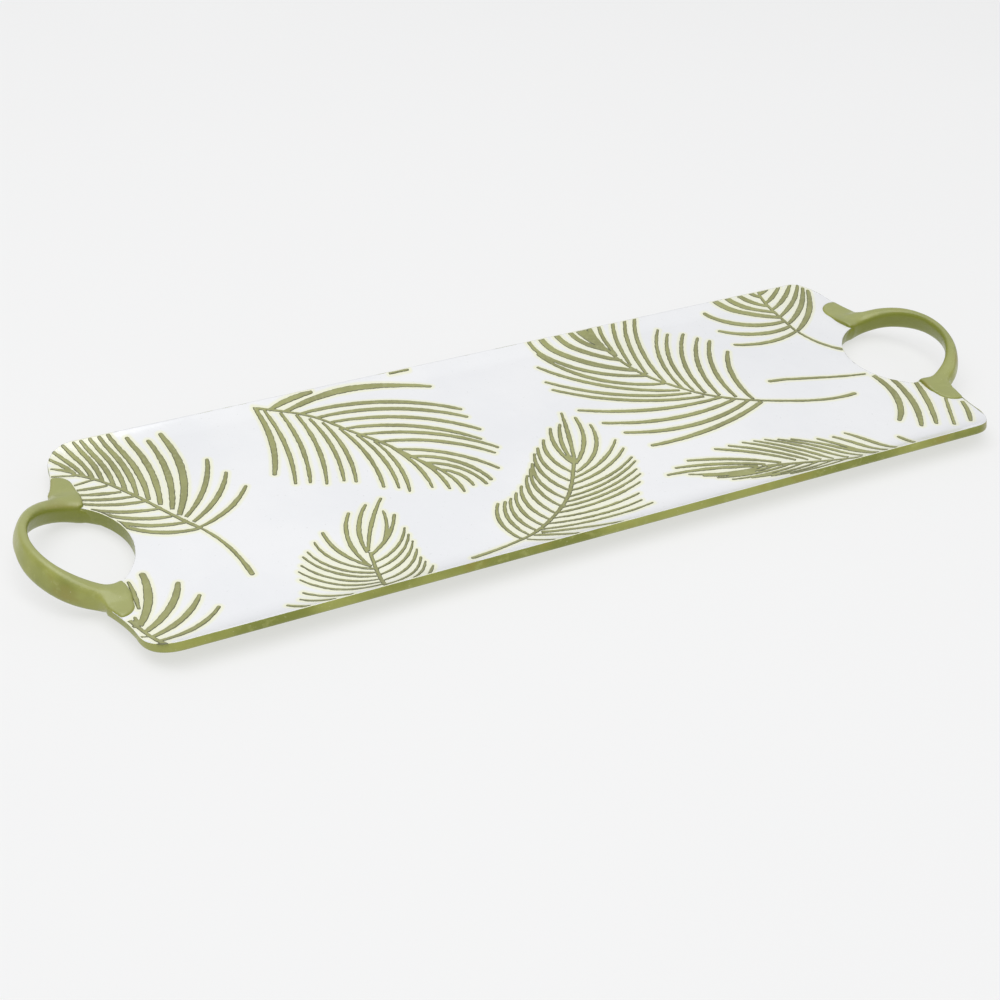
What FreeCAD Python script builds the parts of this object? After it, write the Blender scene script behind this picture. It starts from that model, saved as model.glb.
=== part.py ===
import FreeCAD, Part
import math
import os

# Long serving tray of cast metal: an enamelled top between raised palm fronds,
# softly turned-up long edges and a looped carrying handle at each end.
# Millimetres. +X runs along the tray, +Y to its rear long edge, +Z up.
# The origin is on the table, under the middle of the tray.

V = FreeCAD.Vector
UP = V(0, 0, 1)

# ---- driving dimensions -------------------------------------------------
TOP = 12.2                # height of the flat top face above the table
SLAB = 5.0                # thickness of the cast plate
ENAMEL = 0.8              # depth of the enamel in its pocket
RELIEF = 0.5              # how far the fronds stand above the enamel
HALF_WIDTH = 93.4         # half the width over the long edges
LIP_RUN = 14.0            # how far in the long edges start to rise
LIP_RISE = 3.2            # how much they rise
ROUND_TOP = 0.4           # rounding of the long edges, above and below
ROUND_LOW = 1.0
ENAMEL_INSET = 0.5        # bare rim left outside the enamel
END_X = {(-1, -1): 250.5, (-1, 1): 250.5, (1, -1): 256.3, (1, 1): 252.5}
                          # plate ends beside their corners, by end and by side
FLARE_X = 257.5           # plate end where a handle foot leaves it
FLARE_Y = 51.0
FLARE_START_Y = 74.0
FLARE_SAG = 0.9           # how hollow that flare is
ROOT_Y = 46.0             # outer side of the handle strap at the plate
CUT_X = 246.0             # mouth of the hand cut-out
CUT_HALF = 34.5           # half the width of that mouth
CUT_MIDDLE = {-1: (229.4, 0.0), 1: (220.6, -8.0)}     # its far side; the two differ
CUT_FRONT_X = {-1: 246.0, 1: 239.0}       # where its curve meets the mouth's front side
COLLAR_BITE = 0.4         # how far the rib reaches into the plate
COLLAR_WALL = 4.0         # rib that goes on from the strap round the cut-out
COLLAR_DROP = 8.6         # its lower edge, below the top face

STRAP_X = 247.0           # where the loop's half ellipse starts
STRAP_REACH = {-1: 36.1, 1: 34.8}         # its centre line's reach beyond that
STRAP_HALF = 40.2         # its half width
STRAP_SLOPE = 0.385       # rise of the loop outwards
STRAP_DROP = 5.4          # depth of its centre line at the plate
STRAP_HEIGHT = 12.6       # section of the loop at its middle
STRAP_THICK = 5.7
DEEPER = {-1: 2.4, 1: 0.0}                # extra section below, in the front half
HIGHER = {-1: 0.0, 1: 1.2}                # extra section above, in the rear half
ROOT_HEIGHT = 11.4        # section of the loop at the plate
ROOT_THICK = 11.0
ROOT_SPREAD = 2.6         # how far the thicker root runs along the loop
STRAP_STATIONS = 13
SECTION_POINTS = 16
SECTION_POWER = 3.0       # 2 is an ellipse, more is squarer

# The handle feet, let into the plate, were shaped by hand and differ. Each runs
# from a corner at the cut-out over a shoulder, belly and lobe to its tip.
FEET = {
    (-1, -1): [(245.3, 34.5), (244.3, 44), (244.4, 52.5), (247, 58.2), (252, 60.5)],
    (-1, 1): [(244.5, 34.5), (242.7, 46), (242.8, 55), (245, 62), (250.5, 65.5)],
    (1, -1): [(244, 34.5), (243.4, 44), (243.8, 52), (247.5, 58), (254.5, 60.5)],
    (1, 1): [(243.5, 34.5), (240.8, 44), (239.2, 54), (242.6, 62.5), (249.5, 66)],
}
FOOT_THICK = 2.4
FOOT_PROUD = 0.7          # how far the feet stand above the top face

SCREW_PLACES = [(246.5, 46.0), (247.0, 57.0)]
SCREW_R = 1.5
SCREW_CLEARANCE = 0.1
SCREW_HEAD_R = 2.8
SCREW_HEAD = 1.8
HEAD_ROUND = 0.6
SCREW_BITE = 1.4          # thread taken up by the foot
SOCKET_R = 1.2
SOCKET_DEPTH = 1.0

PAD_X = 205.0
PAD_Y = 60.0
PAD_TOP_R = 9.0
PAD_BASE_R = 7.5
PAD_RECESS = 0.5          # how deep the pads sit in the plate
PAD_GAP = 0.1

# ---- worked out ---------------------------------------------------------
LIP_R = (LIP_RUN ** 2 + LIP_RISE ** 2) / (2 * LIP_RISE)
LIP_ANGLE = math.asin(LIP_RUN / LIP_R)
UNDERSIDE = TOP - SLAB
# the lower part of the rim stands out furthest
FLAT_Y = HALF_WIDTH - (LIP_R + SLAB - ROUND_LOW) * math.sin(LIP_ANGLE)
POCKET_ANGLE = LIP_ANGLE - ENAMEL_INSET / LIP_R
PLAN_SPARE = 0.2          # the cross-section, not the plan, ends the long edges
SPARE = 0.1               # how far a cut starts outside the surface it opens
POCKET_OPEN = 3.0         # how far the pocket's cut goes on above the surface
ABOVE = TOP + 20          # higher than anything on the tray
LONG = 2 * FLARE_X + 20   # longer than the plate
SCREW_LENGTH = SLAB - FOOT_THICK + SCREW_BITE


# ---- plane geometry -----------------------------------------------------
def at(points, share):
    """The point at a share, 0 to 1, of an evenly divided run of points."""
    place = share * (len(points) - 1)
    first = min(int(place), len(points) - 2)
    part = place - first
    (ax, ay), (bx, by) = points[first], points[first + 1]
    return (ax + (bx - ax) * part, ay + (by - ay) * part)


def between(pair, share):
    return pair[0] + (pair[1] - pair[0]) * share


def row(count, roots, tips, bow, width):
    """Leaflets from a run of roots to a run of tips, evenly spread."""
    leaflets = []
    for i in range(count):
        share = i / (count - 1) if count > 1 else 0.0
        leaflets.append((at(roots, share), at(tips, share),
                         between(bow, share), between(width, share)))
    return leaflets


def single(root, tip, bow, width):
    return [(root, tip, bow, width)]


# ---- the palm fronds: spine, stem and leaflets --------------------------
# A bow is the sideways bulge as a share of the leaflet's length, to the left
# when looking from root to tip. Fronds that run off the tray are cut by it.
FRONDS = {
    "palm_frond_01": {
        "spine": [(-241, 65), (-232, 57), (-222, 43), (-213, 27), (-205, 11), (-195, -7)],
        "stem": [(-195, -7), (-189.5, -20), (-186, -36), (-184.8, -53)],
        "leaflets":
            row(10, [(-239, 64), (-228, 52), (-215.5, 33), (-203, 14)],
                [(-248, 83), (-244, 87), (-238, 89.5), (-232, 90), (-228, 90), (-223, 90),
                 (-218, 90), (-213, 90), (-204, 85.5), (-194, 80)],
                (-0.05, -0.06), (3.0, 4.0))
            + single((-201.3, 8), (-186, 83), -0.088, 4.5)
            + row(3, [(-198.7, 5), (-194.5, -6)], [(-171, 50.7), (-166, 35), (-161, 19)],
                  (-0.073, -0.084), (3.4, 3.2))
            + row(9, [(-231.3, 56), (-221.8, 39.5), (-212.6, 26.5), (-205, 8.5), (-195.5, -7)],
                  [(-242, 54.5), (-242.5, 49.5), (-242.5, 45), (-243, 40.5), (-243, 36.5),
                   (-240.5, 30), (-237, 24.5), (-236, 19), (-230, 10)],
                  (0.0, 0.12), (2.8, 3.4))
            + row(2, [(-239, 65), (-239, 63)], [(-249, 74), (-251, 67)],
                  (-0.05, 0.0), (2.6, 2.6)),
    },
    "palm_frond_02": {
        "spine": [(-131, 87), (-118, 81), (-101, 66), (-90, 48), (-79, 31), (-70, 13), (-60, -7)],
        "leaflets":
            single((-129.5, 86.5), (-143, 23.5), 0.057, 3.8)
            + row(11, [(-125.3, 84.5), (-110.3, 74), (-100, 61), (-87.5, 42), (-75, 22),
                       (-60.5, -7)],
                  [(-136, 11), (-128.5, 9), (-121, 4.5), (-111.5, 3.5), (-106, 0), (-94.5, -10),
                   (-87.5, -14), (-83.5, -19), (-71, -20.5), (-63, -25), (-57, -30.5)],
                  (0.045, 0.08), (3.0, 2.7))
            + row(7, [(-108.6, 73.5), (-95.5, 59), (-85.2, 41), (-74.4, 20.3)],
                  [(-23, 43.5), (-23.3, 34.7), (-22.3, 20.5), (-26.3, 11.3), (-21.5, 0.3),
                   (-25.5, -4), (-30.3, -18)],
                  (0.112, 0.095), (4.0, 3.2))
            + row(3, [(-70.3, 11), (-61, -6.5)], [(-38.8, -26), (-43, -28.7), (-50, -27.3)],
                  (0.15, 0.15), (3.4, 2.8))
            + single((-115, 78.8), (-28.5, 72.3), 0.117, 4.6)
            + single((-123.5, 83), (-95, 89.3), 0.045, 3.6),
    },
    "palm_frond_03": {
        "spine": [(-124.5, -60), (-127, -72), (-129, -84), (-131, -100)],
        "leaflets":
            row(6, [(-128, -73.5), (-129, -81), (-130, -88.5)],
                [(-147, -41.3), (-153.2, -47.5), (-156.8, -50.4), (-160.2, -56.7),
                 (-163.4, -60.9), (-165.3, -67)],
                (0.155, 0.13), (2.1, 2.0))
            + single((-147, -91), (-167.6, -77.2), 0.06, 2.1)
            + single((-156, -91.5), (-171, -81.8), 0.05, 2.1)
            + single((-168.5, -92.5), (-178.4, -84), 0.03, 2.4)
            + single((-128.5, -71), (-140, -35.6), 0.112, 2.7)
            + single((-129, -71), (-121.3, -25), 0.118, 2.8)
            + single((-126, -60), (-110.1, -21.4), 0.092, 2.8)
            + single((-125, -59), (-100.4, -19.2), 0.037, 2.7)
            + single((-115.5, -55.5), (-104, -30), -0.07, 2.3)
            + single((-124.3, -62), (-100, -35.4), -0.075, 2.7)
            + row(5, [(-127, -69), (-128.5, -79), (-129, -90)],
                  [(-100, -48), (-101, -60), (-103, -74)],
                  (-0.12, -0.14), (2.0, 2.0))
            + row(2, [(-115, -91), (-107, -91.5)], [(-102.3, -78), (-100.5, -83)],
                  (-0.07, -0.02), (2.1, 2.1)),
    },
    "palm_frond_04": {
        "spine": [(-49, -81), (-36, -76.5), (-22, -68), (-9, -57), (1, -44), (10, -30)],
        "stem": [(-49, -81), (-63, -84), (-79.5, -86.3)],
        "leaflets":
            row(11, [(-49, -80.5), (-36, -76), (-22, -67.5), (-8, -55), (4.5, -37)],
                [(-46, -48), (-41.5, -48), (-37.5, -46.5), (-32.5, -43), (-27, -38.5),
                 (-19.5, -31), (-14.5, -26), (-11.5, -22), (-6, -14), (-1.5, -9.5), (5.3, -3.6)],
                (0.15, 0.13), (2.6, 2.8))
            + single((9, -30), (14.5, 5.3), 0.087, 2.9)
            + row(3, [(10, -30), (10.5, -31)], [(21.5, 7), (28, 17), (33, 9.7)],
                  (0.07, -0.1), (2.8, 2.9))
            + single((6.5, -38.5), (37.4, 0), -0.136, 2.8)
            + row(10, [(2, -43), (-9, -57), (-22, -67.5), (-36, -77)],
                  [(42.5, -19), (42.5, -28), (42, -37.5), (42, -41.5), (38.5, -48.5),
                   (38, -53.5), (34, -60), (28, -69), (26, -75), (30, -79.5)],
                  (-0.09, -0.052), (2.4, 2.0))
            + row(2, [(-47, -82), (-42, -80)], [(-33, -93), (-19, -93)], (0.0, 0.03), (2.2, 2.6))
            + single((-37, -79.5), (8, -92.5), 0.0, 3.4),
    },
    "palm_frond_05": {
        "spine": [(142, -16), (127, -7), (115, 3), (104, 17), (95, 33), (90, 50), (88, 70), (88, 96)],
        "stem": [(142, -16), (158, -23), (177, -29.5), (198, -31)],
        "leaflets":
            single((142, -17), (59, -32), 0.065, 3.8)
            + row(3, [(136.5, -12.3), (130, -8.3), (123, -3.7)],
                  [(51.6, -14.8), (45.3, -1.3), (39, 15.8)], (0.11, 0.075), (3.8, 3.5))
            + row(3, [(114, 1), (109.2, 7), (104.5, 12)], [(35.8, 41), (36.3, 50.2), (39.6, 66.8)],
                  (0.09, 0.1), (3.4, 3.5))
            + row(2, [(100, 22), (95, 34)], [(47, 79.8), (46, 93)], (0.157, 0.155), (3.7, 3.9))
            + row(4, [(93, 41), (89, 61), (88, 80)],
                  [(53.5, 96), (64, 96), (73, 96), (80, 96)],
                  (0.115, 0.02), (5.4, 3.6))
            + row(3, [(88, 72), (88, 76)], [(78.5, 95), (88, 95)], (0.0, 0.0), (5.0, 5.0))
            + row(6, [(138.9, -13), (119, 1), (107, 13)],
                  [(155.3, 39), (152, 54), (147, 60), (141.3, 67.5), (132.2, 71), (129.5, 78)],
                  (0.085, 0.088), (3.5, 2.8))
            + row(4, [(101, 23), (93, 41), (90, 60)],
                  [(122, 94), (115.3, 95), (107, 96), (96, 96)],
                  (0.062, 0.02), (3.1, 3.0)),
    },
    "palm_frond_06": {
        "spine": [(209, 42), (209.5, 58), (210.5, 74), (213, 96)],
        "stem": [(209.5, 43), (212, 31), (216.5, 21.5), (222, 14.5)],
        "leaflets":
            row(3, [(209, 43.7), (209, 50.3), (209.2, 57)], [(164, 44), (164.5, 61.8), (167.3, 82.8)],
                (0.108, 0.178), (3.5, 4.8))
            + row(4, [(209.5, 62), (210.5, 72), (212, 86)],
                  [(177, 95), (186, 95), (195, 95), (203, 95)],
                  (0.07, 0.03), (5.2, 3.2))
            + row(6, [(210, 43.7), (210.7, 68), (212.3, 89)],
                  [(246, 83.5), (240.5, 90.5), (221, 92.5)],
                  (-0.072, -0.02), (4.0, 2.8)),
    },
    "palm_frond_07": {
        "stem": [(218.5, -15.3), (204, -12.3), (187, -7.4), (172, -2.7), (159.5, -0.2)],
    },
    "palm_frond_08": {
        "leaflets":
            single((221.2, -18.5), (205, -65), 0.13, 4.5)
            + single((229.5, -24), (213.5, -74.5), 0.075, 4.3)
            + single((242, -28), (223, -76), 0.04, 4.0)
            + single((248, -52), (231.8, -81.5), 0.0, 3.4)
            + single((252.5, -63), (243, -82.3), 0.045, 3.4),
    },
    "palm_frond_09": {
        "spine": [(104, -73.5), (119, -77.5), (134, -82), (150, -88), (166, -95)],
        "leaflets":
            row(3, [(102, -73), (107, -73), (116, -75)],
                [(51.5, -60.5), (59, -56.5), (69, -53)],
                (-0.04, -0.05), (3.0, 3.0))
            + row(7, [(125, -76), (145, -84), (168, -92)],
                  [(89.5, -49), (107.5, -49.5), (121, -52), (135, -57.5)],
                  (-0.04, -0.05), (2.8, 2.6))
            + row(3, [(170, -92), (183, -93)], [(149, -63), (158.5, -65), (167, -64.3)],
                  (-0.025, -0.04), (2.8, 3.2))
            + row(7, [(104, -74), (127, -80), (152, -88)],
                  [(62.5, -64.5), (82, -78), (113, -88)],
                  (0.06, 0.04), (2.4, 2.0))
            + single((194.5, -92), (193.2, -79.5), -0.06, 3.2),
    },
    "palm_frond_10": {
        "spine": [(-250.5, -64), (-248, -72), (-245, -80), (-240, -95)],
        "leaflets":
            row(4, [(-247.5, -70), (-245.8, -75), (-244.5, -80), (-243, -85)],
                [(-234, -32.2), (-220.4, -45.8), (-214.2, -59), (-208.7, -71.2)],
                (-0.085, -0.108), (4.8, 3.2))
            + single((-243.9, -58), (-242, -35.5), -0.02, 2.8)
            + single((-248.8, -68.5), (-247.6, -63), -0.08, 2.6)
            + row(3, [(-248, -71), (-242, -88)], [(-252.5, -68), (-249, -87)],
                  (0.0, 0.0), (2.0, 2.0)),
    },
    "palm_frond_11": {
        "leaflets": single((-46, 90.6), (-34, 90.2), 0.0, 3.0),
    },
}
STEM_WIDTH = (2.0, 3.0)
SPINE_WIDTH = (2.2, 2.6)
ROOT_SHARE = 0.7          # a leaflet's width at its root and tip, of its middle
TIP_SHARE = 0.68
STRAIGHT = 0.005          # a bow under this is a straight leaflet
STRAIGHT_BULGE = 0.02     # its sides still need a trace of curve
SMALLEST_PATCH = 1.0      # mm3; enamel scraps between leaflets below this are left out


# ---- building blocks ----------------------------------------------------
def flat(point):
    return V(point[0], point[1], 0)


def turned(vector, angle):
    return FreeCAD.Rotation(UP, math.degrees(angle)).multVec(vector)


def arc(a, b, c):
    return Part.Arc(a, b, c).toShape()


def line(a, b):
    return Part.LineSegment(a, b).toShape()


def leaflet_face(root, tip, bow, width):
    start, end = flat(root), flat(tip)
    chord = end - start
    side = turned(chord, math.pi / 2).normalize()
    middle = (start + end) * 0.5 + side * (bow * chord.Length)
    lean = 2 * math.atan(2 * bow)
    start_side = turned(side, lean) * (width * ROOT_SHARE / 2)
    end_side = turned(side, -lean) * (width * TIP_SHARE / 2)
    nose = end + turned(end_side, -math.pi / 2)
    middle_side = side * (width / 2)
    if abs(bow) < STRAIGHT:
        middle_side = side * (width * (ROOT_SHARE + TIP_SHARE) / 4 + STRAIGHT_BULGE)
    edges = [arc(start + start_side, middle + middle_side, end + end_side),
             arc(end + end_side, nose, end - end_side),
             arc(end - end_side, middle - middle_side, start - start_side),
             line(start - start_side, start + start_side)]
    return Part.Face(Part.Wire(edges))


def ribbon_face(points, width):
    """A strip along a smooth line, with a rounded far end."""
    curve = Part.BSplineCurve()
    curve.interpolate([flat(p) for p in points])
    first, last = curve.FirstParameter, curve.LastParameter
    steps = 2 * len(points)
    left, right = [], []
    for i in range(steps + 1):
        share = i / steps
        here = curve.value(first + (last - first) * share)
        along = curve.tangent(first + (last - first) * share)[0]
        side = turned(along, math.pi / 2) * (between(width, share) / 2)
        left.append(here + side)
        right.append(here - side)
    nose = (left[-1] + right[-1]) * 0.5 + turned(left[-1] - right[-1], -math.pi / 2) * 0.5
    rim_left = Part.BSplineCurve()
    rim_left.interpolate(left)
    rim_right = Part.BSplineCurve()
    rim_right.interpolate(right[::-1])
    edges = [rim_left.toShape(), arc(left[-1], nose, right[-1]),
             rim_right.toShape(), line(right[0], left[0])]
    return Part.Face(Part.Wire(edges))


def frond_prism(frond):
    faces = [leaflet_face(*leaflet) for leaflet in frond.get("leaflets", [])]
    if "spine" in frond:
        faces.append(ribbon_face(frond["spine"], SPINE_WIDTH))
    if "stem" in frond:
        faces.append(ribbon_face(frond["stem"], STEM_WIDTH))
    prisms = [face.extrude(UP * ABOVE) for face in faces]
    if len(prisms) == 1:
        return prisms[0]
    return prisms[0].multiFuse(prisms[1:]).removeSplitter()


def cut_mouth(side):
    """Where the cut-out's curve starts and ends, going round the plan anticlockwise."""
    return (CUT_X, CUT_FRONT_X[side]) if side > 0 else (CUT_FRONT_X[side], CUT_X)


def outline_prism(inset, low, high):
    """The tray's plan, drawn in by an inset, between two heights."""
    half = HALF_WIDTH + PLAN_SPARE - inset
    root = FLARE_X - inset
    cut_half = CUT_HALF + inset
    corner_y = FLARE_START_Y
    edges = []
    for side in (1, -1):
        end = END_X[side, side] - inset
        far_end = END_X[side, -side] - inset
        next_end = END_X[-side, -side] - inset
        first_x, last_x = cut_mouth(side)
        middle_x, middle_y = CUT_MIDDLE[side]

        def p(x, y):
            return V(side * x, side * y, 0)

        radius = half - corner_y
        corner_x = end - radius
        far_x = far_end - radius
        diag = radius * math.sqrt(0.5)
        flare_sag = V(side * FLARE_SAG, 0, 0)
        flare_mid = (p(end, corner_y) + p(root, FLARE_Y)) * 0.5 - flare_sag
        flare_low = (p(far_end, -corner_y) + p(root, -FLARE_Y)) * 0.5 - flare_sag
        edges += [
            arc(p(corner_x, half), p(corner_x + diag, corner_y + diag), p(end, corner_y)),
            arc(p(end, corner_y), flare_mid, p(root, FLARE_Y)),
            line(p(root, FLARE_Y), p(root, ROOT_Y)),
            line(p(root, ROOT_Y), p(CUT_X, cut_half)),
            arc(p(first_x, cut_half), p(middle_x - inset, side * middle_y), p(last_x, -cut_half)),
            line(p(CUT_X, -cut_half), p(root, -ROOT_Y)),
            line(p(root, -ROOT_Y), p(root, -FLARE_Y)),
            arc(p(root, -FLARE_Y), flare_low, p(far_end, -corner_y)),
            arc(p(far_end, -corner_y), p(far_x + diag, -corner_y - diag), p(far_x, -half)),
            line(p(far_x, -half), p(radius - next_end, -half)),
        ]
        if last_x < CUT_X:
            edges.append(line(p(last_x, -cut_half), p(CUT_X, -cut_half)))
    wire = Part.Wire(Part.__sortEdges__(edges))
    return Part.Face(wire).extrude(UP * (high - low)).translated(UP * low)


def lip_point(side, depth, angle):
    """A point on the cross-section, at a depth below the top face."""
    reach = (LIP_R + depth) * math.sin(angle)
    height = TOP + LIP_R - (LIP_R + depth) * math.cos(angle)
    return V(0, side * (FLAT_Y + reach), height)


def dished_layer(upper, lower, end_angle, round_top=0.0, round_low=0.0):
    """A layer of the dished cross-section, between two depths."""
    half_angle = end_angle / 2
    top_bend = round_top * (1 - math.sqrt(0.5))
    low_bend = round_low * (1 - math.sqrt(0.5))
    edges = []
    ends = {}
    for side in (1, -1):
        top_end = lip_point(side, upper, end_angle - round_top / LIP_R)
        low_end = lip_point(side, lower, end_angle - round_low / LIP_R)
        wall_top = lip_point(side, upper + round_top, end_angle)
        wall_low = lip_point(side, lower - round_low, end_angle)
        edges.append(arc(lip_point(side, upper, 0), lip_point(side, upper, half_angle), top_end))
        edges.append(arc(lip_point(side, lower, 0), lip_point(side, lower, half_angle), low_end))
        edges.append(line(wall_top, wall_low))
        if round_top:
            middle = lip_point(side, upper + top_bend, end_angle - top_bend / LIP_R)
            edges.append(arc(top_end, middle, wall_top))
        if round_low:
            middle = lip_point(side, lower - low_bend, end_angle - low_bend / LIP_R)
            edges.append(arc(wall_low, middle, low_end))
        ends[side] = (lip_point(side, upper, 0), lip_point(side, lower, 0))
    edges.append(line(ends[1][0], ends[-1][0]))
    edges.append(line(ends[1][1], ends[-1][1]))
    profile = Part.Face(Part.Wire(Part.__sortEdges__(edges)))
    return profile.extrude(V(LONG, 0, 0)).translated(V(-LONG / 2, 0, 0))


def plan_cut(layer, inset):
    return layer.common(outline_prism(inset, 0.0, ABOVE))


# ---- handles ------------------------------------------------------------
def strap_section(side, angle):
    """One oval section of the loop, square to its tilted centre line."""
    end_share = abs(math.sin(angle)) ** ROOT_SPREAD
    below = DEEPER[side] * max(0.0, -math.sin(2 * angle))
    above = HIGHER[side] * max(0.0, math.sin(2 * angle))
    half_height = (between((STRAP_HEIGHT, ROOT_HEIGHT), end_share) + below + above) / 2
    half_thick = between((STRAP_THICK, ROOT_THICK), end_share) / 2
    reach = STRAP_REACH[side] * math.cos(angle)
    tilt = math.atan(STRAP_SLOPE)
    tall = V(-side * math.sin(tilt), 0, math.cos(tilt))
    centre = V(side * (STRAP_X + reach), STRAP_HALF * math.sin(angle),
               TOP - STRAP_DROP + STRAP_SLOPE * reach) + tall * ((above - below) / 2)
    run = -STRAP_REACH[side] * math.sin(angle)
    along = V(side * run, STRAP_HALF * math.cos(angle), STRAP_SLOPE * run).normalize()
    thick = along.cross(tall)
    points = []
    for i in range(SECTION_POINTS):
        turn = 2 * math.pi * i / SECTION_POINTS
        c, s = math.cos(turn), math.sin(turn)
        push = (abs(c) ** SECTION_POWER + abs(s) ** SECTION_POWER) ** (-1 / SECTION_POWER)
        points.append(centre + thick * (half_thick * c * push)
                      + tall * (half_height * s * push))
    curve = Part.BSplineCurve()
    curve.interpolate(points, PeriodicFlag=True)
    return Part.Wire(curve.toShape())


def foot_region(side, way):
    """The plan of one handle foot."""
    def p(x, y):
        return V(side * x, way * y, 0)
    outside = FLARE_X + 4
    corner, shoulder, belly, lobe, tip = FEET[side, way]
    edges = [line(p(outside, corner[1]), p(*corner)),
             arc(p(*corner), p(*shoulder), p(*belly)),
             arc(p(*belly), p(*lobe), p(*tip)),
             line(p(*tip), p(outside, tip[1])),
             line(p(outside, tip[1]), p(outside, corner[1]))]
    return Part.Face(Part.Wire(edges)).extrude(UP * ABOVE)


def foot(side, way):
    layer = outline_prism(0, TOP - FOOT_THICK, TOP + FOOT_PROUD)
    return layer.common(foot_region(side, way))


def handle(side):
    turns = [math.pi * (i / (STRAP_STATIONS - 1) - 0.5) for i in range(STRAP_STATIONS)]
    strap = Part.makeLoft([strap_section(side, turn) for turn in turns], True)
    body = strap.multiFuse([foot(side, 1), foot(side, -1)])
    for x, y, z in screw_seats():
        if x * side > 0:
            body = body.cut(Part.makeCylinder(SCREW_R, SCREW_LENGTH, V(x, y, z)))
    return body


def screw_seats():
    return [(side * x, way * y, UNDERSIDE)
            for side in (-1, 1) for way in (-1, 1) for x, y in SCREW_PLACES]


def handle_screws():
    screws = []
    for x, y, z in screw_seats():
        shank = Part.makeCylinder(SCREW_R, SCREW_LENGTH, V(x, y, z))
        head = Part.makeCylinder(SCREW_HEAD_R, SCREW_HEAD, V(x, y, z - SCREW_HEAD))
        head = head.makeFillet(HEAD_ROUND, [head.Edges[2]])
        ring = [V(x + SOCKET_R * math.cos(math.radians(a)),
                  y + SOCKET_R * math.sin(math.radians(a)), z - SCREW_HEAD)
                for a in range(0, 361, 60)]
        socket = Part.Face(Part.makePolygon(ring)).extrude(UP * SOCKET_DEPTH)
        screws.append(shank.fuse(head).cut(socket))
    return Part.makeCompound(screws)


# ---- tray ---------------------------------------------------------------
def collar(side):
    """The rib under the rim of one hand cut-out."""
    middle_x, middle_y = CUT_MIDDLE[side]
    front_x = CUT_FRONT_X[side]
    wide = CUT_HALF + COLLAR_WALL
    height = COLLAR_DROP - SLAB + COLLAR_BITE

    def p(x, y):
        return V(side * x, y, TOP - COLLAR_DROP)
    edges = [arc(p(CUT_X, CUT_HALF), p(middle_x, middle_y), p(front_x, -CUT_HALF)),
             arc(p(CUT_X, wide), p(middle_x - COLLAR_WALL, middle_y), p(front_x, -wide)),
             line(p(CUT_X, CUT_HALF), p(CUT_X, wide)),
             line(p(CUT_X, -CUT_HALF), p(CUT_X, -wide))]
    if front_x < CUT_X:
        edges += [line(p(front_x, y), p(CUT_X, y)) for y in (-CUT_HALF, -wide)]
    return Part.Face(Part.Wire(Part.__sortEdges__(edges))).extrude(UP * height)


def pad_places():
    return {"foot_pad_front_left": (-PAD_X, -PAD_Y), "foot_pad_front_right": (PAD_X, -PAD_Y),
            "foot_pad_rear_left": (-PAD_X, PAD_Y), "foot_pad_rear_right": (PAD_X, PAD_Y)}


def foot_pad(x, y):
    pad = Part.makeCone(PAD_BASE_R, PAD_TOP_R, UNDERSIDE, V(x, y, 0))
    plug = Part.makeCylinder(PAD_TOP_R, PAD_RECESS, V(x, y, UNDERSIDE))
    return pad.fuse(plug).removeSplitter()


def tray_plate(handles):
    plate = plan_cut(dished_layer(0.0, SLAB, LIP_ANGLE, ROUND_TOP, ROUND_LOW), 0.0)
    plate = plate.multiFuse([collar(1), collar(-1)])
    pocket = plan_cut(dished_layer(-POCKET_OPEN, ENAMEL, POCKET_ANGLE), ENAMEL_INSET)
    cuts = [pocket] + list(handles)
    for x, y, z in screw_seats():
        cuts.append(Part.makeCylinder(SCREW_R + SCREW_CLEARANCE, SLAB, V(x, y, z - SPARE)))
    for x, y in pad_places().values():
        cuts.append(Part.makeCylinder(PAD_TOP_R + PAD_GAP, PAD_RECESS, V(x, y, UNDERSIDE)))
    return plate.cut(Part.makeCompound(cuts))


def save(name, shape):
    solids = shape.Solids
    bad = [s for s in solids if not s.isValid()]
    volume = sum(s.Volume for s in solids)
    print(name, len(solids), "solids", round(volume, 1), "mm3", "bad" if bad else "ok")
    body = solids[0] if len(solids) == 1 else Part.makeCompound(solids)
    body.exportStep("parts/" + name + ".step")


def main():
    os.makedirs("parts", exist_ok=True)
    handles = {"handle_left": handle(-1), "handle_right": handle(1)}
    feet = Part.makeCompound([foot(side, way) for side in (-1, 1) for way in (-1, 1)])
    enamel = plan_cut(dished_layer(0.0, ENAMEL, POCKET_ANGLE), ENAMEL_INSET).cut(feet)
    relief = plan_cut(dished_layer(-RELIEF, ENAMEL, POCKET_ANGLE), ENAMEL_INSET).cut(feet)
    fronds = {name: frond_prism(frond).common(relief) for name, frond in FRONDS.items()}
    for name, shape in fronds.items():
        save(name, shape)
        enamel = enamel.cut(shape)
    patches = [solid for solid in enamel.Solids if solid.Volume > SMALLEST_PATCH]
    save("enamel_field", Part.makeCompound(patches))
    save("tray_plate", tray_plate(handles.values()))
    for name, shape in handles.items():
        save(name, shape)
    save("handle_screws", handle_screws())
    for name, (x, y) in pad_places().items():
        save(name, foot_pad(x, y))


main()
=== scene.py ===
import math

import bpy
import numpy as np
from mathutils import Matrix, Vector
from mathutils.geometry import delaunay_2d_cdt


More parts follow.
